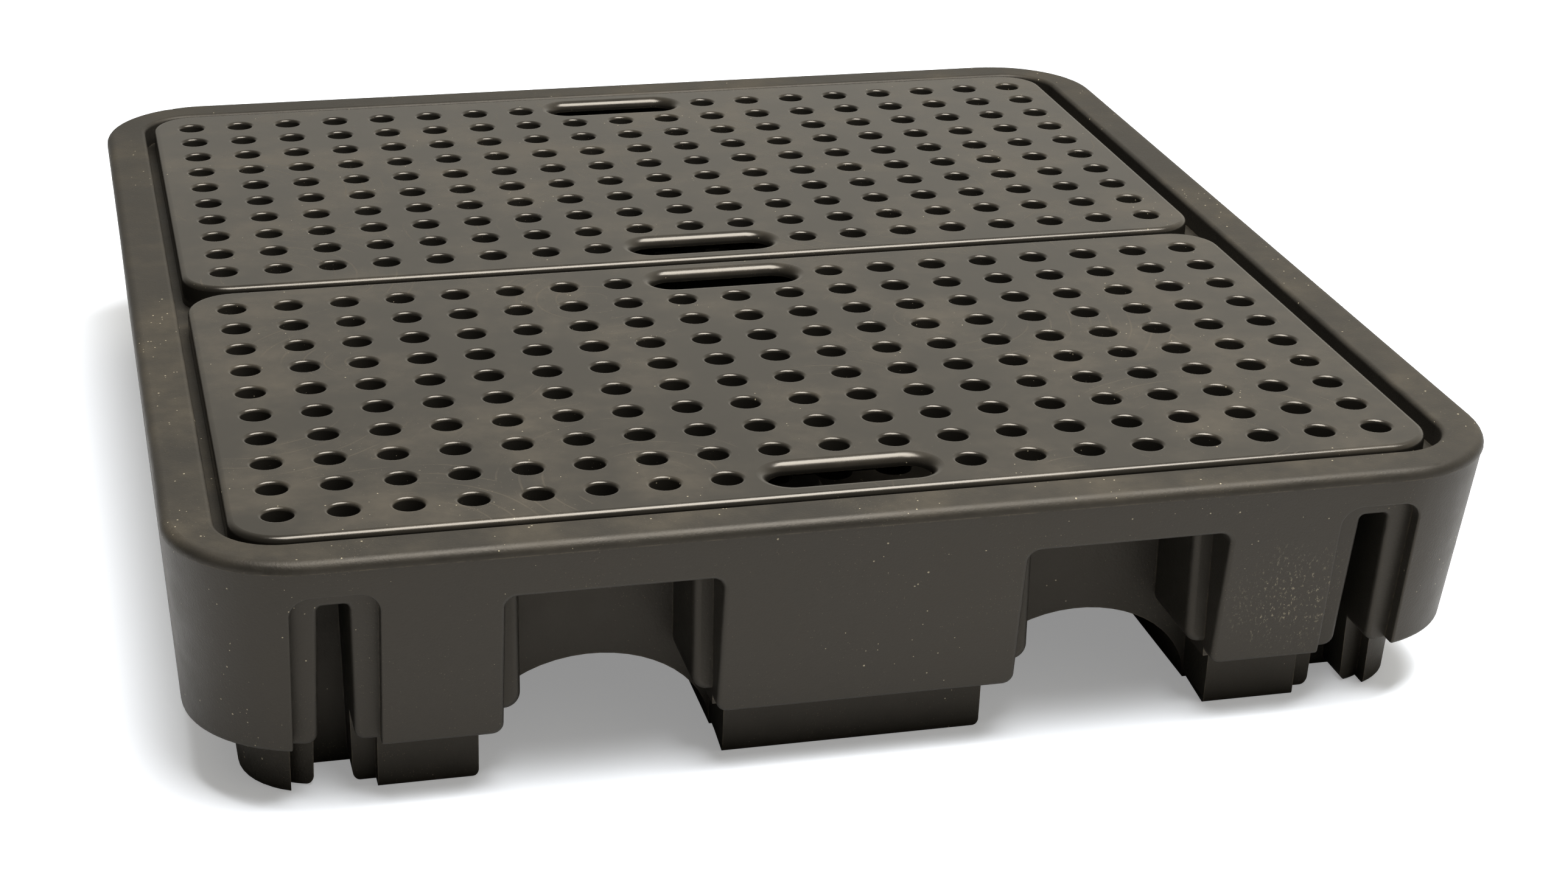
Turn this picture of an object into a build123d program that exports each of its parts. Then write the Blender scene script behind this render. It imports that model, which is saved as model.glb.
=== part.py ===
from build123d import *
import os

# Four-drum spill containment pallet: a moulded sump base and two lift-out deck grates.
# Millimetres. X runs along the front, Y from front to back, Z up; the origin is on the
# ground under the middle of the base.

# Overall sizes of the base
overall_width = 1300
overall_depth = 1416
rim_height = 280
corner_radius = 125
wall = 8

# Rim
rim_width = 48
rim_lip_height = 11
rim_lip_step = 1
rim_outer_round = 10
rim_inner_round = 5

# Skirt: the leaning outer walls under the rim lip
skirt_bottom = 71
side_lean = 10
front_lean = 35
skirt_edge_round = 5

# Feet: the runners that stand on the ground, set in from the skirt
foot_inset = 50
foot_lean = 5
foot_corner_radius = 75
foot_edge_round = 4
foot_corner_round = 9

# Fork ways: an arched tunnel from front to back, with a tall mouth and a throat at each end
tunnel_spacing = 498
tunnel_width = 238
tunnel_height = 90
mouth_width = 203
mouth_top = 225
mouth_depth = 55
mouth_corner_round = 12
throat_width = 164
throat_bottom = 85
throat_top = 215
throat_depth = 145
throat_corner_round = 9
throat_edge_round = 8
shoulder_round = 16
flare_round = 11

# Corner slots, each in a shallow recessed surround
slot_inset = 145.5
slot_width_low = 37
slot_width_high = 28
slot_top = 225
slot_corner_round = 5
surround_width = 81
surround_top = 242
surround_recess = 15
surround_corner_round = 20
surround_edge_round = 2

# Hollow pillars that rise from below and carry the grates
pillar_count = 3
pillar_foot_radius = 60
pillar_top_radius = 26

# Ledge and well that hold the grates
ledge_width = 28
ledge_corner_radius = 130
well_corner_radius = 60

# Deck grates
hole_pitch = 60
hole_radius = 14.5
hole_round = 3.5
least_side_margin = 46.5
least_long_margin = 52
grate_thickness = 30
grate_proud = 3
grate_corner_radius = 50
grate_top_round = 6
grate_wall = 5
deck_skin = 8
bore_wall = 4
rib_thickness = 3

# Hand slots at the middle of each long edge of a grate
hand_slot_length = 163
hand_slot_width = 48
hand_slot_round = 10
hand_slot_collar = 4
hand_slot_depth = 12
hand_slot_offset = 2

# Clearances round the two grates in the well
left_gap = 11
right_gap = 20
front_gap = 4
middle_gap = 14
rear_gap = 14

# Sizes worked out from the ones above
lip_bottom = rim_height - rim_lip_height
skirt_rise = lip_bottom - skirt_bottom
skirt_half_width = overall_width / 2 - rim_lip_step
skirt_half_depth = overall_depth / 2 - rim_lip_step
foot_width = 2 * (skirt_half_width - side_lean - foot_inset)
foot_depth = 2 * (skirt_half_depth - front_lean - foot_inset)
foot_top = skirt_bottom + 2 * flare_round
well_width = overall_width - 2 * rim_width
well_depth = overall_depth - 2 * rim_width
grate_width = well_width - left_gap - right_gap
grate_depth = (well_depth - front_gap - middle_gap - rear_gap) / 2
grate_shift = (left_gap - right_gap) / 2
ledge_height = rim_height + grate_proud - grate_thickness
front_grate_y = -well_depth / 2 + front_gap + grate_depth / 2
rear_grate_y = front_grate_y + grate_depth + middle_gap
slot_spacing = overall_width - 2 * slot_inset
pillar_spacing_x = tunnel_spacing / 2
pillar_spacing_y = grate_depth / 2
hole_columns = int((grate_width - 2 * least_side_margin) / hole_pitch) + 1
hole_rows = int((grate_depth - 2 * least_long_margin) / hole_pitch) + 1
end_row = (hole_rows - 1) * hole_pitch / 2
hand_slot_reach = hand_slot_length / 2 + hand_slot_collar + bore_wall + hole_radius
hole_places = [
    place.position
    for place in GridLocations(hole_pitch, hole_pitch, hole_columns, hole_rows)
    if abs(place.position.Y) < end_row or abs(place.position.X) > hand_slot_reach
]
hand_slot_places = [(0, -end_row - hand_slot_offset), (0, end_row + hand_slot_offset)]
upwards = (Align.CENTER, Align.MIN)
mouth_places = GridLocations(tunnel_spacing, 0, 2, 1)
slot_places = GridLocations(slot_spacing, 0, 2, 1)


def leaning_skirt(inset, low, high):
    """The skirt's block between two heights, with its leaning faces set in by inset."""
    with BuildPart() as block:
        for plane, half, lean, mode in (
            (Plane.XZ, skirt_half_width, side_lean, Mode.ADD),
            (Plane.YZ, skirt_half_depth, front_lean, Mode.INTERSECT),
        ):
            at_low = half - inset - lean * (lip_bottom - low) / skirt_rise
            at_high = half - inset - lean * (lip_bottom - high) / skirt_rise
            with BuildSketch(plane):
                with BuildLine():
                    Polyline((-at_low, low), (at_low, low), (at_high, high), (-at_high, high), close=True)
                make_face()
            extrude(amount=overall_depth, both=True, mode=mode)
        uprights = [e for e in block.edges() if e.bounding_box().size.Z > (high - low) / 2]
        fillet(uprights, radius=corner_radius - rim_lip_step - inset)
    return block.part


def foot_block(inset, low, high):
    """The outline that the runners share, which widens upwards, between two heights."""
    with BuildPart() as block:
        for height in (low, high):
            spread = foot_lean * height / skirt_bottom - inset
            with BuildSketch(Plane.XY.offset(height)):
                RectangleRounded(
                    foot_width + 2 * spread, foot_depth + 2 * spread, foot_corner_radius + spread
                )
        loft()
    return block.part


def upright_opening(places, depth, low_width, high_width, top, corner_round, step=None):
    """Openings at both ends, from the ground to top and running to depth behind the rim's edge.

    A step, (width, height, round), makes them wider below that height, with round outer corners above it.
    """
    with BuildSketch() as profile:
        with BuildLine():
            Polyline(
                (-low_width / 2, 0),
                (low_width / 2, 0),
                (high_width / 2, top),
                (-high_width / 2, top),
                close=True,
            )
        make_face()
        Rectangle(low_width, wall, align=(Align.CENTER, Align.MAX))
        fillet(profile.vertices().group_by(Axis.Y)[-1], radius=corner_round)
        if step:
            step_width, step_height, step_round = step
            with Locations((0, step_height)):
                Rectangle(step_width, step_height + wall, align=(Align.CENTER, Align.MAX))
            inner = profile.vertices().filter_by_position(Axis.Y, step_height - 0.1, step_height + 0.1)
            fillet(inner.sort_by(lambda v: abs(v.X))[:2], radius=step_round)
    with BuildPart() as cut:
        with BuildSketch(Plane.XZ.offset(overall_depth / 2 - depth)):
            with places:
                add(profile.sketch)
        extrude(amount=overall_depth)
        mirror(about=Plane.XZ)
    return cut.part


def loose_edges(part):
    """The edges of the leaning outer faces, other than those round their tops."""
    boxes = [(f, f.bounding_box()) for f in part.faces()]
    walls = [f for f, box in boxes if box.max.Z > lip_bottom - 1 and box.size.Z > 1]
    return [e for f in walls for e in f.edges() if e.bounding_box().max.Z < lip_bottom - 1]


def beside_surround(edge):
    """Whether an edge is round a corner slot's surround, not along the skirt's bottom."""
    beside = abs(abs(edge.center().X) - slot_spacing / 2) < surround_width / 2 + 1
    return beside and edge.center().Z > skirt_bottom + 5


def pillars(grow):
    """The pillars' outsides when grow is the wall, or their hollows when it is nothing."""
    with BuildPart() as cones:
        with GridLocations(pillar_spacing_x, pillar_spacing_y, pillar_count, pillar_count):
            Cone(
                pillar_foot_radius - wall + grow,
                pillar_top_radius - wall + grow,
                ledge_height - wall + grow,
                align=(Align.CENTER, Align.CENTER, Align.MIN),
            )
    return cones.part


def mouths(grow, step=None):
    """The wide outer openings of the fork ways."""
    wide = mouth_width + 2 * grow
    return upright_opening(
        mouth_places, mouth_depth + grow, wide, wide, mouth_top + grow, mouth_corner_round, step
    )


def throats(grow):
    """The narrower openings behind the mouths, as wide as them again below their shoulders."""
    narrow = throat_width + 2 * grow
    return upright_opening(
        mouth_places, throat_depth + grow, narrow, narrow, throat_top + grow, throat_corner_round,
        (mouth_width + 2 * grow, throat_bottom + grow, shoulder_round),
    )


def tunnels(grow):
    """The arched ways that run right under the base."""
    with BuildPart() as arches:
        with BuildSketch(Plane.XZ):
            with mouth_places:
                Ellipse(tunnel_width / 2 + grow, tunnel_height + grow)
        extrude(amount=overall_depth, both=True)
    return arches.part


def foot_gaps(grow):
    """The straight-sided ways between the feet that lead to the tunnels."""
    wide = tunnel_width + 2 * grow
    return upright_opening(
        mouth_places, throat_depth + grow, wide, wide, skirt_bottom + grow, foot_corner_round,
        (wide + 4 * foot_corner_round, 0, foot_corner_round),
    )


def surround_windows(grow):
    """Windows of the corner slots' surrounds, as deep as the slots."""
    wide = surround_width + 2 * grow
    return upright_opening(
        slot_places, throat_depth + grow, wide, wide, surround_top + grow, surround_corner_round
    )


def corner_slots(grow, step_height=0):
    """The deep slots, narrower towards their tops, and flared at a height."""
    return upright_opening(
        slot_places, throat_depth + grow, slot_width_low + 2 * grow, slot_width_high + 2 * grow,
        slot_top + grow, slot_corner_round, (surround_width, step_height, flare_round),
    )


# The outer skirt and feet, open at the fork ways and at the corner slots' surrounds
with BuildPart() as skirt:
    add(leaning_skirt(0, skirt_bottom, lip_bottom))
    add(mouths(0, (mouth_width + 4 * flare_round, skirt_bottom, flare_round)), mode=Mode.SUBTRACT)
    add(surround_windows(0), mode=Mode.SUBTRACT)
    fillet([e for e in loose_edges(skirt) if not beside_surround(e)], radius=skirt_edge_round)
    fillet([e for e in loose_edges(skirt) if beside_surround(e)], radius=surround_edge_round)
    add(throats(0), mode=Mode.SUBTRACT)
    back_plane = overall_depth / 2 - mouth_depth
    throat_edges = [
        e for e in skirt.edges()
        if abs(abs(e.center().Y) - back_plane) < 0.1 and e.bounding_box().size.Y < 0.1
        and abs(abs(e.center().X) - tunnel_spacing / 2) < throat_width / 2 + shoulder_round
        and e.center().Z < throat_top + 1
    ]
    fillet(throat_edges, radius=throat_edge_round)
    add(tunnels(0), mode=Mode.SUBTRACT)

with BuildPart() as feet:
    add(foot_block(0, 0, foot_top))
    fillet(feet.edges().group_by(Axis.Z)[0], radius=foot_edge_round)
    for cut in (tunnels(0), foot_gaps(0), throats(0), surround_windows(0)):
        add(cut, mode=Mode.SUBTRACT)

# The set-back faces inside the surrounds, with the slots through them
with BuildPart() as post_feet:
    add(foot_block(surround_recess, 0, foot_top))
    fillet(post_feet.edges().group_by(Axis.Z)[0], radius=foot_edge_round)
    add(corner_slots(0), mode=Mode.SUBTRACT)

with BuildPart() as posts:
    add(leaning_skirt(surround_recess, skirt_bottom, lip_bottom))
    add(corner_slots(0, skirt_bottom), mode=Mode.SUBTRACT)
    fillet(loose_edges(posts), radius=skirt_edge_round)
    add(post_feet.part)
    add(surround_windows(flare_round), mode=Mode.INTERSECT)

# What a spill fills: one open space inside the skirt and feet, with the hollow rim over its edge
with BuildPart() as recess_walls:
    add(surround_windows(wall))
    add(leaning_skirt(surround_recess + wall, skirt_bottom + wall, rim_height), mode=Mode.SUBTRACT)
    add(foot_block(surround_recess + wall, wall, foot_top), mode=Mode.SUBTRACT)

with BuildPart() as rim_channel:
    add(leaning_skirt(wall, foot_top, rim_height - wall))
    Box(well_width + 2 * wall, well_depth + 2 * wall, 2 * rim_height, mode=Mode.SUBTRACT)

with BuildPart() as sump_space:
    add(leaning_skirt(wall, skirt_bottom + wall, ledge_height - wall))
    add(foot_block(wall, wall, foot_top))
    add(rim_channel.part)
    with BuildSketch(Plane.XY.offset(foot_top)):
        RectangleRounded(well_width - 2 * ledge_width, well_depth - 2 * ledge_width, ledge_corner_radius)
    extrude(amount=ledge_height - foot_top)
    for passage in (tunnels(wall), foot_gaps(wall), throats(wall), mouths(wall), corner_slots(wall)):
        add(passage, mode=Mode.SUBTRACT)
    add(recess_walls.part, mode=Mode.SUBTRACT)
    add(pillars(wall), mode=Mode.SUBTRACT)

# The base is one moulding
with BuildPart() as sump_base:
    with BuildSketch(Plane.XY.offset(lip_bottom)):
        RectangleRounded(overall_width, overall_depth, corner_radius)
    extrude(amount=rim_lip_height)
    fillet(sump_base.edges().group_by(Axis.Z)[-1], radius=rim_outer_round)
    add(skirt.part)
    add(feet.part)
    add(posts.part)
    add(pillars(0), mode=Mode.SUBTRACT)
    with BuildSketch(Plane.XY.offset(ledge_height)):
        RectangleRounded(well_width, well_depth, well_corner_radius)
    extrude(amount=rim_height, mode=Mode.SUBTRACT)
    rim_inner = sump_base.faces().filter_by(Plane.XY).sort_by(Axis.Z)[-1].inner_wires()
    fillet(rim_inner[0].edges(), radius=rim_inner_round)
    add(sump_space.part, mode=Mode.SUBTRACT)


def deck_grate(center_y):
    """One grate: a pierced skin with a bore tube under each hole, a rim wall and a lattice of ribs."""
    floor = Plane((grate_shift, center_y, ledge_height))
    with BuildPart() as grate:
        with BuildSketch(floor):
            RectangleRounded(grate_width, grate_depth, grate_corner_radius)
        extrude(amount=grate_thickness)
        fillet(grate.edges().group_by(Axis.Z)[-1], radius=grate_top_round)
        with BuildSketch(floor):
            RectangleRounded(
                grate_width - 2 * grate_wall, grate_depth - 2 * grate_wall, grate_corner_radius - grate_wall
            )
            with GridLocations(hole_pitch, 0, hole_columns, 1):
                Rectangle(rib_thickness, grate_depth, mode=Mode.SUBTRACT)
            with GridLocations(0, hole_pitch, 1, hole_rows):
                Rectangle(grate_width, rib_thickness, mode=Mode.SUBTRACT)
            with Locations(*hole_places):
                Circle(hole_radius + bore_wall, mode=Mode.SUBTRACT)
            with Locations(*hand_slot_places):
                SlotOverall(hand_slot_length + 2 * hand_slot_collar, hand_slot_width + 2 * hand_slot_collar)
        extrude(amount=grate_thickness - deck_skin, mode=Mode.SUBTRACT)
        with BuildSketch(floor.offset(grate_thickness - hand_slot_depth)):
            with Locations(*hand_slot_places):
                SlotOverall(hand_slot_length + 2 * hand_slot_collar, hand_slot_width + 2 * hand_slot_collar)
        extrude(amount=hand_slot_depth - deck_skin / 2)
        with BuildSketch(floor):
            with Locations(*hole_places):
                Circle(hole_radius)
            with Locations(*hand_slot_places):
                SlotOverall(hand_slot_length, hand_slot_width)
        extrude(amount=grate_thickness, mode=Mode.SUBTRACT)
        top = grate.faces().sort_by(Axis.Z)[-1]
        small, large = [], []
        for wire in top.inner_wires():
            (large if wire.length > hand_slot_length else small).extend(wire.edges())
        fillet(small, radius=hole_round)
        fillet(large, radius=hand_slot_round)
    return grate


os.makedirs("parts", exist_ok=True)
sump_base.part.label = "sump_base"
export_step(sump_base.part, "parts/sump_base.step")
for name, center_y in (("front_grate", front_grate_y), ("rear_grate", rear_grate_y)):
    grate = deck_grate(center_y)
    grate.part.label = name
    export_step(grate.part, f"parts/{name}.step")
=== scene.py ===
import bmesh
import bpy
import math
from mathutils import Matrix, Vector


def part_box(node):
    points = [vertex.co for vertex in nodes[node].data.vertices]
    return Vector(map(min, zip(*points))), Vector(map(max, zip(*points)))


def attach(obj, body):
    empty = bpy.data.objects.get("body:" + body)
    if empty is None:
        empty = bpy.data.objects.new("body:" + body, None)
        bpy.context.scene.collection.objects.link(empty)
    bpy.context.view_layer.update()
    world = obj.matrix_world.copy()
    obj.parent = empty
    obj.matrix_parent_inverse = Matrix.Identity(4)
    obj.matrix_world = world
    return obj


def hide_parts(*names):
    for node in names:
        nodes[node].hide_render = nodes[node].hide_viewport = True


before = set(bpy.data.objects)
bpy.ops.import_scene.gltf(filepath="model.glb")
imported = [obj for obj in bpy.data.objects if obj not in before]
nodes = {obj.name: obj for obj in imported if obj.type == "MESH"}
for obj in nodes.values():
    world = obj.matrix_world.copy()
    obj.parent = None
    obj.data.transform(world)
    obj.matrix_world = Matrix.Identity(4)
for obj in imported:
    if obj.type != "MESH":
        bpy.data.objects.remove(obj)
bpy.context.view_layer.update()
scene = bpy.context.scene

# Finish that both plastics share, as linear colours
WARM_GLOSS = (1.0, 0.91, 0.78, 1.0)
PALE_CHIP = (0.30, 0.26, 0.18)

# How finely the grates' roundings are stepped
RING_STEPS = 24
HOLE_ROUND_STEPS = 5
SLOT_ROUND_STEPS = 7
TOP_ROUND_STEPS = 6
SLOT_END_STEPS = 12
CORNER_STEPS = 10

# Modelling tolerances, in metres
JOIN_DISTANCE = 0.00002
LEVEL_TOLERANCE = 0.0001
ROW_TOLERANCE = 0.001
RIB_SUNK = 0.002
CREASE_ANGLE = math.radians(40)
LEVEL_NORMAL = 0.9999

# Sizes of a deck grate, in metres, and its numbers of holes
GRATE_SIZES = {
    "Width": 1.173, "Depth": 0.644, "Corner Radius": 0.05, "Thickness": 0.03, "Top Round": 0.006,
    "Outer Wall": 0.005, "Skin": 0.008, "Bore Wall": 0.004, "Rib": 0.003,
    "Hole Pitch": 0.06, "Hole Radius": 0.0145, "Hole Round": 0.0035,
    "Slot Length": 0.163, "Slot Width": 0.048, "Slot Corner": 0.02399, "Slot Round": 0.01,
    "Slot Depth": 0.012, "Collar": 0.004, "Slot Offset": 0.002, "Slot Reach": 0.104,
}
GRATE_COUNTS = {"Columns": 19, "Rows": 10}
GRATE_INPUTS = (
    [(name, "NodeSocketFloat") for name in GRATE_SIZES]
    + [(name, "NodeSocketInt") for name in GRATE_COUNTS]
    + [("Place", "NodeSocketVector"), ("Finish", "NodeSocketMaterial")]
)


# ---------------------------------------------------------------- node trees

class NodeTree:
    """Short ways to add and join nodes in a shader or geometry tree."""

    def __init__(self, tree):
        self.tree = tree

    def feed(self, socket, value):
        if isinstance(value, bpy.types.NodeSocket):
            self.tree.links.new(value, socket)
        else:
            socket.default_value = value

    def add(self, kind, inputs=None, **settings):
        node = self.tree.nodes.new(kind)
        for key, value in settings.items():
            setattr(node, key, value)
        for key, value in (inputs or {}).items():
            self.feed(node.inputs[key], value)
        return node

    def math(self, operation, a, b=0.0, clamp=False):
        node = self.add("ShaderNodeMath", {0: a, 1: b}, operation=operation, use_clamp=clamp)
        return node.outputs[0]

    def vector(self, x=0.0, y=0.0, z=0.0):
        return self.add("ShaderNodeCombineXYZ", {0: x, 1: y, 2: z}).outputs[0]

    def noise(self, vector, scale, detail=2.0, roughness=0.5):
        node = self.add(
            "ShaderNodeTexNoise",
            {"Vector": vector, "Scale": scale, "Detail": detail, "Roughness": roughness},
        )
        return node.outputs["Fac"]

    def ramp(self, value, low, high):
        """0 below low, 1 above high, smooth between."""
        node = self.add(
            "ShaderNodeMapRange", {"Value": value, "From Min": low, "From Max": high},
            interpolation_type="SMOOTHSTEP", clamp=True,
        )
        return node.outputs["Result"]

    def mix(self, factor, a, b):
        node = self.add("ShaderNodeMix", {"Factor": factor, 6: a, 7: b}, data_type="RGBA")
        return node.outputs["Result"]

    def join(self, pieces):
        node = self.add("GeometryNodeJoinGeometry")
        for piece in pieces:
            self.tree.links.new(piece, node.inputs[0])
        return node.outputs[0]

    def move(self, piece, place):
        return self.add("GeometryNodeTransform", {"Geometry": piece, "Translation": place}).outputs[0]

    def without(self, points, chosen):
        """The points that aren't chosen."""
        given = {"Geometry": points, "Selection": chosen}
        return self.add("GeometryNodeDeleteGeometry", given, domain="POINT").outputs[0]

    def merged(self, piece):
        given = {"Geometry": piece, "Distance": JOIN_DISTANCE}
        return self.add("GeometryNodeMergeByDistance", given).outputs[0]


# ---------------------------------------------------------------- shader groups

def new_group(name, inputs, outputs):
    """A shader node group with named inputs (name, default) and outputs (name, socket type)."""
    group = bpy.data.node_groups.new(name, "ShaderNodeTree")
    for label, default in inputs:
        socket = group.interface.new_socket(name=label, in_out="INPUT", socket_type="NodeSocketFloat")
        socket.default_value = default
    for label, kind in outputs:
        group.interface.new_socket(name=label, in_out="OUTPUT", socket_type=kind)
    t = NodeTree(group)
    return t, t.add("NodeGroupInput").outputs, t.add("NodeGroupOutput").inputs


def object_place(t):
    return t.add("ShaderNodeTexCoord").outputs["Object"]


def make_mottle():
    """Uneven tone in moulded plastic: broad clouds and a finer blotch."""
    t, given, out = new_group(
        "moulded_mottle", [("Broad Scale", 3.0), ("Fine Scale", 25.0), ("Strength", 0.5)],
        [("Tone", "NodeSocketFloat")],
    )
    where = object_place(t)
    broad = t.noise(where, given["Broad Scale"], 4.0, 0.55)
    fine = t.noise(where, given["Fine Scale"], 4.0, 0.6)
    both = t.math("ADD", t.math("MULTIPLY", broad, 0.6), t.math("MULTIPLY", fine, 0.4))
    t.feed(out["Tone"], t.math("MULTIPLY", t.math("SUBTRACT", both, 0.5), given["Strength"]))
    return t.tree


def make_specks():
    """Small pale specks of dust and chips, gathered in drifts, and the thin film between them."""
    t, given, out = new_group(
        "dust_specks", [("Scale", 260.0), ("Amount", 0.3), ("Drift Scale", 6.0)],
        [("Specks", "NodeSocketFloat"), ("Film", "NodeSocketFloat")],
    )
    where = object_place(t)
    cells = t.add("ShaderNodeTexVoronoi", {"Vector": where, "Scale": given["Scale"]}).outputs
    chance = t.add("ShaderNodeSeparateColor", {"Color": cells["Color"]}).outputs
    drift = t.noise(where, given["Drift Scale"], 5.0, 0.65)
    reach = t.math("MULTIPLY", t.ramp(drift, 0.45, 0.75), given["Amount"])
    chosen = t.math("LESS_THAN", chance["Red"], reach)
    near = t.math("LESS_THAN", cells["Distance"], t.math("MULTIPLY", chance["Green"], 0.35))
    t.feed(out["Specks"], t.math("MULTIPLY", chosen, near))
    t.feed(out["Film"], t.ramp(drift, 0.4, 0.9))
    return t.tree


def make_wear():
    """Paler edges: a rounded normal leaves the true one where an edge stands proud."""
    t, given, out = new_group(
        "edge_wear", [("Radius", 0.002), ("Breakup Scale", 60.0), ("Amount", 1.0)],
        [("Edge", "NodeSocketFloat")],
    )
    where = object_place(t)
    rounded = t.add("ShaderNodeBevel", {"Radius": given["Radius"]}, samples=4).outputs["Normal"]
    truth = t.add("ShaderNodeNewGeometry").outputs["Normal"]
    dot = t.add("ShaderNodeVectorMath", {0: rounded, 1: truth}, operation="DOT_PRODUCT")
    edge = t.ramp(t.math("SUBTRACT", 1.0, dot.outputs["Value"]), 0.02, 0.25)
    broken = t.ramp(t.noise(where, given["Breakup Scale"], 5.0, 0.7), 0.35, 0.65)
    t.feed(out["Edge"], t.math("MULTIPLY", t.math("MULTIPLY", edge, broken), given["Amount"], True))
    return t.tree


def make_grain():
    """The fine pebbled skin that a mould leaves."""
    t, given, out = new_group(
        "moulded_grain", [("Scale", 900.0), ("Strength", 0.1), ("Depth", 0.0004)],
        [("Normal", "NodeSocketVector")],
    )
    height = t.noise(object_place(t), given["Scale"], 3.0, 0.6)
    bump = t.add(
        "ShaderNodeBump", {"Strength": given["Strength"], "Distance": given["Depth"], "Height": height}
    )
    t.feed(out["Normal"], bump.outputs["Normal"])
    return t.tree


def make_scuffs():
    """Fine arcs left by drums turned and dragged on the deck."""
    t, given, out = new_group(
        "drum_scuffs", [("Cell Scale", 3.5), ("Ring Scale", 60.0), ("Amount", 1.0)],
        [("Scuffs", "NodeSocketFloat")],
    )
    where = object_place(t)
    cells = t.add(
        "ShaderNodeTexVoronoi", {"Vector": where, "Scale": given["Cell Scale"]}, voronoi_dimensions="2D"
    ).outputs
    wobble = t.math("MULTIPLY", t.noise(where, 7.0, 2.0), 0.06)
    reach = t.math("ADD", cells["Distance"], wobble)
    rings = t.math("SINE", t.math("MULTIPLY", reach, given["Ring Scale"]))
    patch = t.ramp(t.noise(where, 9.0, 5.0, 0.6), 0.52, 0.66)
    marks = t.math("MULTIPLY", t.ramp(rings, 0.93, 1.0), patch)
    t.feed(out["Scuffs"], t.math("MULTIPLY", marks, given["Amount"]))
    return t.tree


def make_chalk():
    """A rubbed, chalky patch about one place, which thins out round it."""
    t, given, out = new_group(
        "chalk_rub", [("X", 0.0), ("Y", 0.0), ("Z", 0.0), ("Reach", 0.1), ("Scale", 60.0)],
        [("Chalk", "NodeSocketFloat")],
    )
    where = object_place(t)
    centre = t.vector(given["X"], given["Y"], given["Z"])
    far = t.add("ShaderNodeVectorMath", {0: where, 1: centre}, operation="DISTANCE")
    near = t.ramp(far.outputs["Value"], given["Reach"], t.math("MULTIPLY", given["Reach"], 0.15))
    stretched = t.add(
        "ShaderNodeMapping", {"Vector": where, "Scale": (1.0, 1.0, 0.55), "Rotation": (0.0, 0.6, 0.0)}
    )
    streaks = t.noise(stretched.outputs[0], given["Scale"], 8.0, 0.75)
    t.feed(out["Chalk"], t.math("MULTIPLY", t.ramp(streaks, 0.56, 0.64), near, True))
    return t.tree


mottle, specks, wear, grain, scuffs, chalk = (
    make_mottle(), make_specks(), make_wear(), make_grain(), make_scuffs(), make_chalk()
)


def use_group(t, group, **values):
    node = t.add("ShaderNodeGroup", node_tree=group)
    for key, value in values.items():
        node.inputs[key.replace("_", " ")].default_value = value
    return node.outputs


def moulded_plastic(
    name, dark, light, dust, roughness, specular, film, edge_tone,
    grain_values, mottle_values, speck_values, fleck_values, wear_values,
    chalk_values=None, scuff_values=None,
):
    """Black polyethylene: mottled tone, dust film and specks, paler worn edges and a moulded grain."""
    material = bpy.data.materials.new(name)
    material.use_nodes = True
    t = NodeTree(material.node_tree)
    shader = material.node_tree.nodes["Principled BSDF"].inputs
    shader["Specular IOR Level"].default_value = specular
    shader["Specular Tint"].default_value = WARM_GLOSS
    tone = use_group(t, mottle, **mottle_values)["Tone"]
    base = t.mix(t.math("ADD", tone, 0.5, True), (*dark, 1), (*light, 1))
    dirt = use_group(t, specks, **speck_values)
    shape = t.add("ShaderNodeNewGeometry")
    facing = t.add("ShaderNodeSeparateXYZ", {0: shape.outputs["Normal"]}).outputs["Z"]
    settled = t.math("MULTIPLY", dirt["Film"], t.ramp(facing, -0.2, 1.0))
    film_cover = t.math("MULTIPLY", settled, film)
    colour = t.mix(film_cover, base, (*dust, 1))
    edge = use_group(t, wear, **wear_values)["Edge"]
    colour = t.mix(t.math("MULTIPLY", edge, edge_tone), colour, (*dust, 1))
    flecks = use_group(t, specks, **fleck_values)["Specks"]
    colour = t.mix(t.math("MULTIPLY", flecks, 0.35), colour, (*dust, 1))
    colour = t.mix(t.math("MULTIPLY", dirt["Specks"], 0.7), colour, (*PALE_CHIP, 1))
    gloss = t.math("ADD", t.math("MULTIPLY", tone, 0.25), roughness)
    gloss = t.math("ADD", gloss, t.math("MULTIPLY", film_cover, 0.5))
    if chalk_values:
        rubbed = use_group(t, chalk, **chalk_values)["Chalk"]
        colour = t.mix(t.math("MULTIPLY", rubbed, 0.5), colour, (*PALE_CHIP, 1))
    if scuff_values:
        marks = use_group(t, scuffs, **scuff_values)["Scuffs"]
        marks = t.math("MULTIPLY", marks, t.ramp(facing, 0.9, 0.99))
        colour = t.mix(t.math("MULTIPLY", marks, 0.10), colour, (*dust, 1))
        gloss = t.math("ADD", gloss, t.math("MULTIPLY", marks, 0.12))
    t.feed(shader["Base Color"], colour)
    t.feed(shader["Roughness"], t.math("MINIMUM", gloss, 0.95))
    t.feed(shader["Normal"], use_group(t, grain, **grain_values)["Normal"])
    return material


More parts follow.
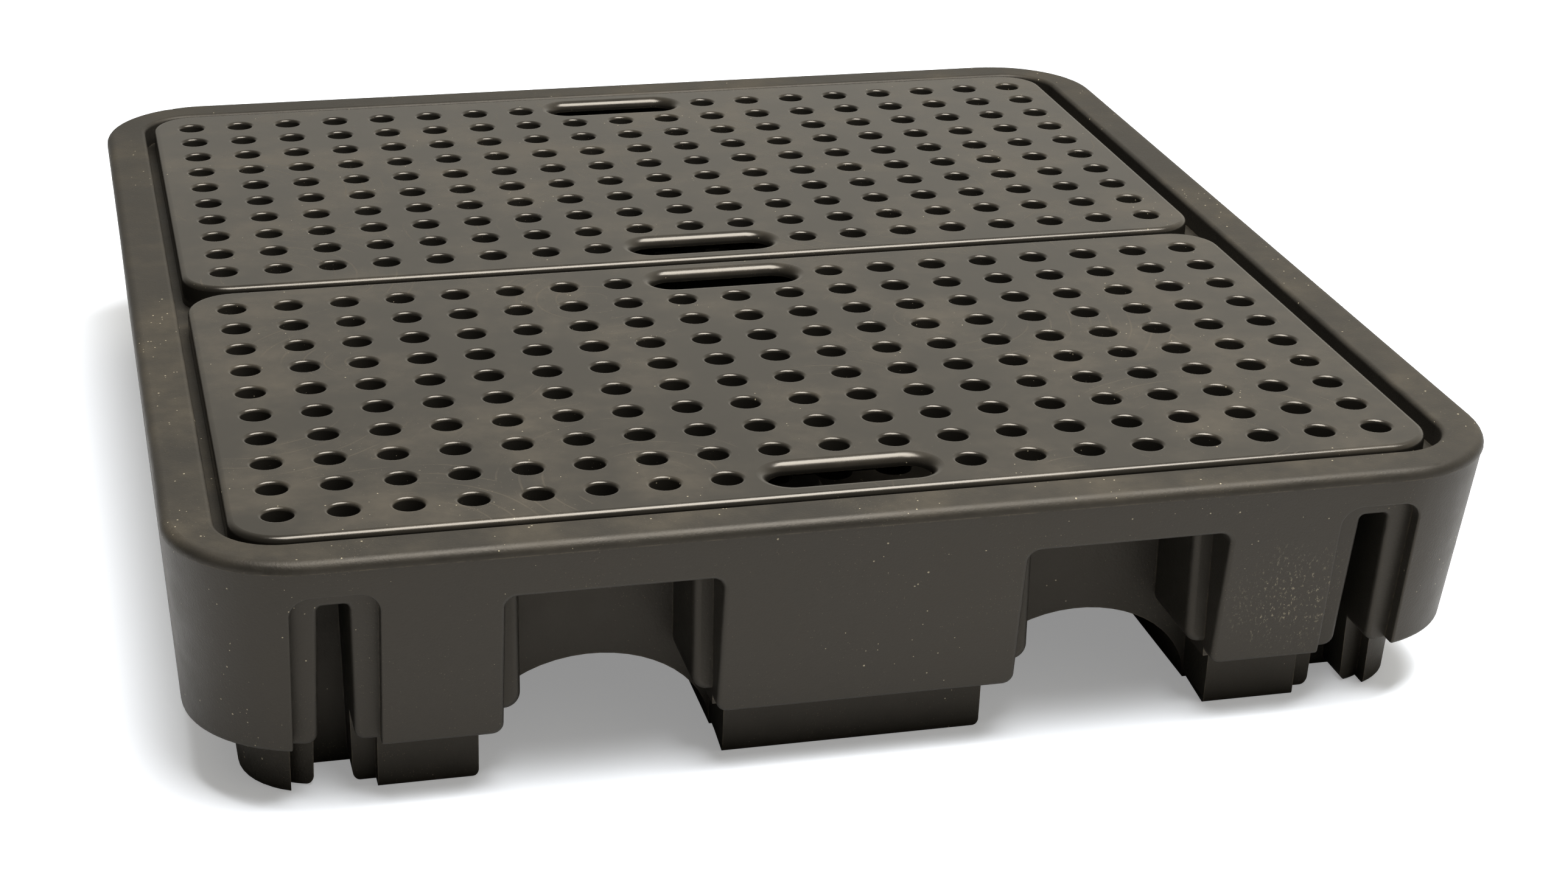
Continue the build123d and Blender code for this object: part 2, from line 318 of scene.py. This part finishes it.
basin_plastic = moulded_plastic(
    "basin_plastic", dark=(0.006, 0.0056, 0.0048), light=(0.019, 0.0168, 0.0133), dust=(0.11, 0.09, 0.06),
    roughness=0.48, specular=0.30, film=0.35, edge_tone=0.7,
    grain_values={"Scale": 420.0, "Strength": 0.5, "Depth": 0.0005},
    mottle_values={"Broad_Scale": 4.0, "Fine_Scale": 45.0, "Strength": 1.7},
    speck_values={"Scale": 330.0, "Amount": 0.10, "Drift_Scale": 7.0},
    fleck_values={"Scale": 620.0, "Amount": 0.5, "Drift_Scale": 11.0},
    wear_values={"Radius": 0.0025, "Breakup_Scale": 70.0, "Amount": 0.9},
    chalk_values={"X": 0.425, "Y": -0.69, "Z": 0.14, "Reach": 0.085, "Scale": 330.0},
)
grate_plastic = moulded_plastic(
    "grate_plastic", dark=(0.005, 0.0046, 0.0038), light=(0.011, 0.0098, 0.0078), dust=(0.16, 0.13, 0.09),
    roughness=0.24, specular=0.5, film=0.2, edge_tone=0.5,
    grain_values={"Scale": 1500.0, "Strength": 0.05, "Depth": 0.0003},
    mottle_values={"Broad_Scale": 4.0, "Fine_Scale": 40.0, "Strength": 0.8},
    speck_values={"Scale": 400.0, "Amount": 0.03, "Drift_Scale": 8.0},
    fleck_values={"Scale": 700.0, "Amount": 0.12, "Drift_Scale": 9.0},
    wear_values={"Radius": 0.001, "Breakup_Scale": 150.0, "Amount": 0.5},
    scuff_values={"Cell_Scale": 3.2, "Ring_Scale": 90.0, "Amount": 1.0},
)
for name, plastic in (
    ("sump_base", basin_plastic), ("front_grate", grate_plastic), ("rear_grate", grate_plastic)
):
    nodes[name].data.materials.clear()
    nodes[name].data.materials.append(plastic)


# ---------------------------------------------------------------- deck grates

def swept_edge(t, loop, side, rounding, depth, wall, skin, steps):
    """A rounded top edge, its wall, the wall's foot and its far face, swept round a closed loop."""
    quarter = -math.pi / 2
    arc = t.add(
        "GeometryNodeCurveArc",
        {"Resolution": steps + 1, "Radius": rounding, "Start Angle": quarter, "Sweep Angle": quarter},
        mode="RADIUS",
    ).outputs[0]
    arc = t.move(arc, t.vector(rounding, rounding))
    corners = [t.vector(0.0, rounding), t.vector(0.0, depth), t.vector(wall, depth), t.vector(wall, skin)]
    lines = [
        t.add("GeometryNodeCurvePrimitiveLine", {"Start": start, "End": end}).outputs[0]
        for start, end in zip(corners, corners[1:])
    ]
    profile = t.join([arc, *lines])
    turned = t.add("GeometryNodeTransform", {"Geometry": profile, "Scale": (side, 1, 1)}).outputs[0]
    return t.add("GeometryNodeCurveToMesh", {"Curve": loop, "Profile Curve": turned}).outputs[0]


def rounded_loop(t, width, height, radius, steps):
    """A closed rectangle with rounded corners, as a curve of straight segments."""
    given = {"Width": width, "Height": height}
    box = t.add("GeometryNodeCurvePrimitiveQuadrilateral", given).outputs[0]
    given = {"Curve": box, "Radius": radius, "Count": steps}
    return t.add("GeometryNodeFilletCurve", given, mode="POLY").outputs[0]


def level_sheet(t, edges, level):
    """A flat sheet that closes the open edges lying at one level."""
    place = t.add("GeometryNodeInputPosition").outputs[0]
    height = t.add("ShaderNodeSeparateXYZ", {0: place}).outputs[2]
    given = {"A": height, "B": level, "Epsilon": LEVEL_TOLERANCE}
    at_level = t.add("FunctionNodeCompare", given, operation="EQUAL").outputs[0]
    faces = t.add("GeometryNodeInputMeshEdgeNeighbors").outputs[0]
    open_edge = t.add("FunctionNodeCompare", {2: faces, 3: 1}, data_type="INT", operation="EQUAL")
    both = t.add("FunctionNodeBooleanMath", {0: at_level, 1: open_edge.outputs[0]}, operation="AND")
    loops = t.add("GeometryNodeMeshToCurve", {"Mesh": edges, "Selection": both.outputs[0]}).outputs[0]
    sheet = t.add("GeometryNodeFillCurve", {"Curve": loops}, mode="TRIANGLES").outputs[0]
    return t.move(sheet, t.vector(0.0, 0.0, level))


def spread(t, points, piece):
    """Copies of a piece, one on each point."""
    return t.add("GeometryNodeInstanceOnPoints", {"Points": points, "Instance": piece}).outputs[0]


def rows_of_points(t, size_x, size_y, count_x, count_y):
    """A grid of points about the middle, of these spans and numbers."""
    given = {"Size X": size_x, "Size Y": size_y, "Vertices X": count_x, "Vertices Y": count_y}
    return t.add("GeometryNodeMeshGrid", given).outputs[0]


def make_grate_tree():
    """A pierced deck: skin, bore tubes, hand slots, outer wall and the ribs between the tubes."""
    tree = bpy.data.node_groups.new("pierced_deck_grate", "GeometryNodeTree")
    for name, kind in GRATE_INPUTS:
        tree.interface.new_socket(name=name, in_out="INPUT", socket_type=kind)
    tree.interface.new_socket(name="Geometry", in_out="OUTPUT", socket_type="NodeSocketGeometry")
    t = NodeTree(tree)
    size = t.add("NodeGroupInput").outputs
    out = t.add("NodeGroupOutput")
    pitch, skin, depth = size["Hole Pitch"], size["Skin"], size["Thickness"]
    wide = t.math("MULTIPLY", t.math("SUBTRACT", size["Columns"], 1), pitch)
    deep = t.math("MULTIPLY", t.math("SUBTRACT", size["Rows"], 1), pitch)
    end_row = t.math("MULTIPLY", deep, 0.5)

    # Holes everywhere on the grid but at the hand slots
    place = t.add("GeometryNodeInputPosition").outputs[0]
    place = t.add("ShaderNodeSeparateXYZ", {0: place}).outputs
    across, along = t.math("ABSOLUTE", place[0]), t.math("ABSOLUTE", place[1])

    def near_slot(inner_row, reach):
        beyond = t.math("GREATER_THAN", along, inner_row)
        return t.math("MULTIPLY", beyond, t.math("LESS_THAN", across, reach))

    last_row = t.math("SUBTRACT", end_row, ROW_TOLERANCE)
    grid = rows_of_points(t, wide, deep, size["Columns"], size["Rows"])
    holes = t.without(grid, near_slot(last_row, size["Slot Reach"]))
    given = {"Resolution": RING_STEPS, "Radius": size["Hole Radius"]}
    ring = t.add("GeometryNodeCurvePrimitiveCircle", given).outputs[0]
    bore = swept_edge(t, ring, 1, size["Hole Round"], depth, size["Bore Wall"], skin, HOLE_ROUND_STEPS)

    # Hand slots and the outer edge; a grid of points is at least two wide, so one side goes
    slot_loop = rounded_loop(
        t, size["Slot Length"], size["Slot Width"], size["Slot Corner"], SLOT_END_STEPS
    )
    collar = swept_edge(
        t, slot_loop, 1, size["Slot Round"], size["Slot Depth"], size["Collar"], skin, SLOT_ROUND_STEPS
    )
    slot_span = t.math("MULTIPLY", t.math("ADD", end_row, size["Slot Offset"]), 2.0)
    slots = rows_of_points(t, 0.0, slot_span, 2, 2)
    one_side = t.math("GREATER_THAN", t.add("GeometryNodeInputIndex").outputs[0], 1.5)
    slots = t.without(slots, one_side)
    outline = rounded_loop(t, size["Width"], size["Depth"], size["Corner Radius"], CORNER_STEPS)
    rim = swept_edge(
        t, outline, -1, size["Top Round"], depth, size["Outer Wall"], skin, TOP_ROUND_STEPS
    )

    # The skin's two sheets close the swept edges into one shell
    edges = t.join([spread(t, holes, bore), spread(t, slots, collar), rim])
    edges = t.merged(t.add("GeometryNodeRealizeInstances", {0: edges}).outputs[0])
    under = t.math("MULTIPLY", skin, -1.0)
    shell = t.merged(t.join([edges, level_sheet(t, edges, 0.0), level_sheet(t, edges, under)]))

    # Ribs between the tubes, and from the end tubes to the outer wall
    tube = t.math("ADD", size["Hole Radius"], size["Bore Wall"])
    gap = t.math("SUBTRACT", pitch, t.math("MULTIPLY", tube, 2.0))
    gap = t.math("ADD", gap, 2 * RIB_SUNK)
    rib_height = t.math("ADD", t.math("SUBTRACT", depth, skin), RIB_SUNK)
    centre = t.math("SUBTRACT", t.math("MULTIPLY", rib_height, 0.5), depth)
    wall_inside = t.math("SUBTRACT", t.math("MULTIPLY", size["Depth"], 0.5), size["Outer Wall"])
    end_tube = t.math("ADD", end_row, tube)
    end_gap = t.math("ADD", t.math("SUBTRACT", wall_inside, end_tube), 2 * RIB_SUNK)
    end_span = t.math("ADD", end_tube, wall_inside)

    def ribs(length_x, length_y, span_x, span_y, count_x, count_y, inner_row):
        size_of_bar = t.vector(length_x, length_y, rib_height)
        bar = t.add("GeometryNodeMeshCube", {"Size": size_of_bar}).outputs[0]
        bar = t.move(bar, t.vector(0.0, 0.0, centre))
        spots = rows_of_points(t, span_x, span_y, count_x, count_y)
        spots = t.without(spots, near_slot(inner_row, slot_side))
        return t.add("GeometryNodeRealizeInstances", {0: spread(t, spots, bar)}).outputs[0]

    thin = size["Rib"]
    columns, rows = size["Columns"], size["Rows"]
    slot_side = t.math("SUBTRACT", size["Slot Reach"], ROW_TOLERANCE)
    more_columns, fewer_rows = t.math("ADD", columns, 1), t.math("SUBTRACT", rows, 1)
    row_before = t.math("SUBTRACT", last_row, pitch)
    whole = t.join([
        shell,
        ribs(gap, thin, t.math("ADD", wide, pitch), deep, more_columns, rows, last_row),
        ribs(thin, gap, wide, t.math("SUBTRACT", deep, pitch), columns, fewer_rows, row_before),
        ribs(thin, end_gap, wide, end_span, columns, 2, last_row),
    ])
    placed = t.move(whole, size["Place"])
    real = t.add("GeometryNodeRealizeInstances", {0: placed}).outputs[0]
    given = {"Geometry": real, "Material": size["Finish"]}
    t.feed(out.inputs[0], t.add("GeometryNodeSetMaterial", given).outputs[0])
    return tree


def deck_grate(name, cad_node, finish, tree):
    """One grate in the place of its CAD node."""
    low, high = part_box(cad_node)
    place = ((low[0] + high[0]) / 2, (low[1] + high[1]) / 2, high[2])
    holder = bpy.data.objects.new("holder", bpy.data.meshes.new("holder"))
    scene.collection.objects.link(holder)
    modifier = holder.modifiers.new("grate", "NODES")
    modifier.node_group = tree
    values = {**GRATE_SIZES, **GRATE_COUNTS, "Place": place, "Finish": finish}
    for item in tree.interface.items_tree:
        if item.in_out == "INPUT":
            modifier[item.identifier] = values[item.name]
    depsgraph = bpy.context.evaluated_depsgraph_get()
    mesh = bpy.data.meshes.new_from_object(holder.evaluated_get(depsgraph))
    bpy.data.objects.remove(holder)
    shape = bmesh.new()
    shape.from_mesh(mesh)
    bmesh.ops.recalc_face_normals(shape, faces=shape.faces)
    shape.to_mesh(mesh)
    shape.free()
    mesh.set_sharp_from_angle(angle=CREASE_ANGLE)
    for face in mesh.polygons:
        face.use_smooth = abs(face.normal.z) < LEVEL_NORMAL
        face.material_index = 0
    mesh.materials.clear()
    mesh.materials.append(finish)
    mesh.name = name
    piece = bpy.data.objects.new(name, mesh)
    scene.collection.objects.link(piece)
    return piece


grate_tree = make_grate_tree()
for name, cad_node, body in (
    ("front_deck_grate", "front_grate", "front_deck"), ("rear_deck_grate", "rear_grate", "rear_deck")
):
    piece = deck_grate(name, cad_node, grate_plastic, grate_tree)
    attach(piece, body)
    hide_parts(cad_node)

# ---------------------------------------------------------------- floor, light and camera

FLOOR_HALF = 20.0
PAPER_SEEN, PAPER_LIT = (0.90, 0.93, 0.98, 1), (0.68, 0.68, 0.68, 1)
PAPER_GLOW = 0.27
STUDIO_COLOUR = (1.0, 0.95, 0.84, 1)
STUDIO_SLOPE, STUDIO_MIDDLE, STUDIO_DARKEST = (0.45, 0.26, 0.06), 0.37, 0.10

floor_mesh = bpy.data.meshes.new("studio_floor")
floor_corners = [(x * FLOOR_HALF, y * FLOOR_HALF, 0) for x, y in ((-1, -1), (1, -1), (1, 1), (-1, 1))]
floor_mesh.from_pydata(floor_corners, [], [(0, 1, 2, 3)])
floor = bpy.data.objects.new("studio_floor", floor_mesh)
scene.collection.objects.link(floor)
paper = bpy.data.materials.new("studio_paper")
paper.use_nodes = True
paper_shader = paper.node_tree.nodes["Principled BSDF"].inputs
paper_shader["Roughness"].default_value = 0.9
paper_shader["Specular IOR Level"].default_value = 0.0
paper_shader["Emission Color"].default_value = (1.0, 1.0, 1.0, 1)
t = NodeTree(paper.node_tree)
seen_directly = t.add("ShaderNodeLightPath").outputs["Is Camera Ray"]
t.feed(paper_shader["Base Color"], t.mix(seen_directly, PAPER_LIT, PAPER_SEEN))
t.feed(paper_shader["Emission Strength"], t.math("MULTIPLY", seen_directly, PAPER_GLOW))
floor_mesh.materials.append(paper)

# The studio is brighter towards the right and the back
world = bpy.data.worlds.new("studio")
world.use_nodes = True
t = NodeTree(world.node_tree)
direction = t.add("ShaderNodeTexCoord").outputs["Generated"]
slope = t.add("ShaderNodeVectorMath", {0: direction, 1: STUDIO_SLOPE}, operation="DOT_PRODUCT")
brightness = t.math("ADD", slope.outputs["Value"], STUDIO_MIDDLE)
background = world.node_tree.nodes["Background"].inputs
background["Color"].default_value = STUDIO_COLOUR
t.feed(background["Strength"], t.math("MAXIMUM", brightness, STUDIO_DARKEST))
scene.world = world

light_data = bpy.data.lights.new("overhead_softbox", "AREA")
light_data.shape = "RECTANGLE"
light_data.size, light_data.size_y = 3.2, 2.2
light_data.energy = 380
softbox = bpy.data.objects.new("overhead_softbox", light_data)
scene.collection.objects.link(softbox)
softbox.location = (0.5, -0.9, 3.6)
aim = Vector((0.0, -0.2, 0.0)) - softbox.location
softbox.rotation_euler = aim.to_track_quat("-Z", "Y").to_euler()

lens = bpy.data.cameras.new("studio_camera")
lens.sensor_width = 36.0
lens.lens = 69.27
lens.clip_end = 60.0
camera = bpy.data.objects.new("studio_camera", lens)
scene.collection.objects.link(camera)
camera.location = (-0.7195, -3.1346, 1.4317)
camera.rotation_euler = (1.16695, -0.02056, -0.24238)
scene.camera = camera
scene.view_settings.view_transform = "Standard"
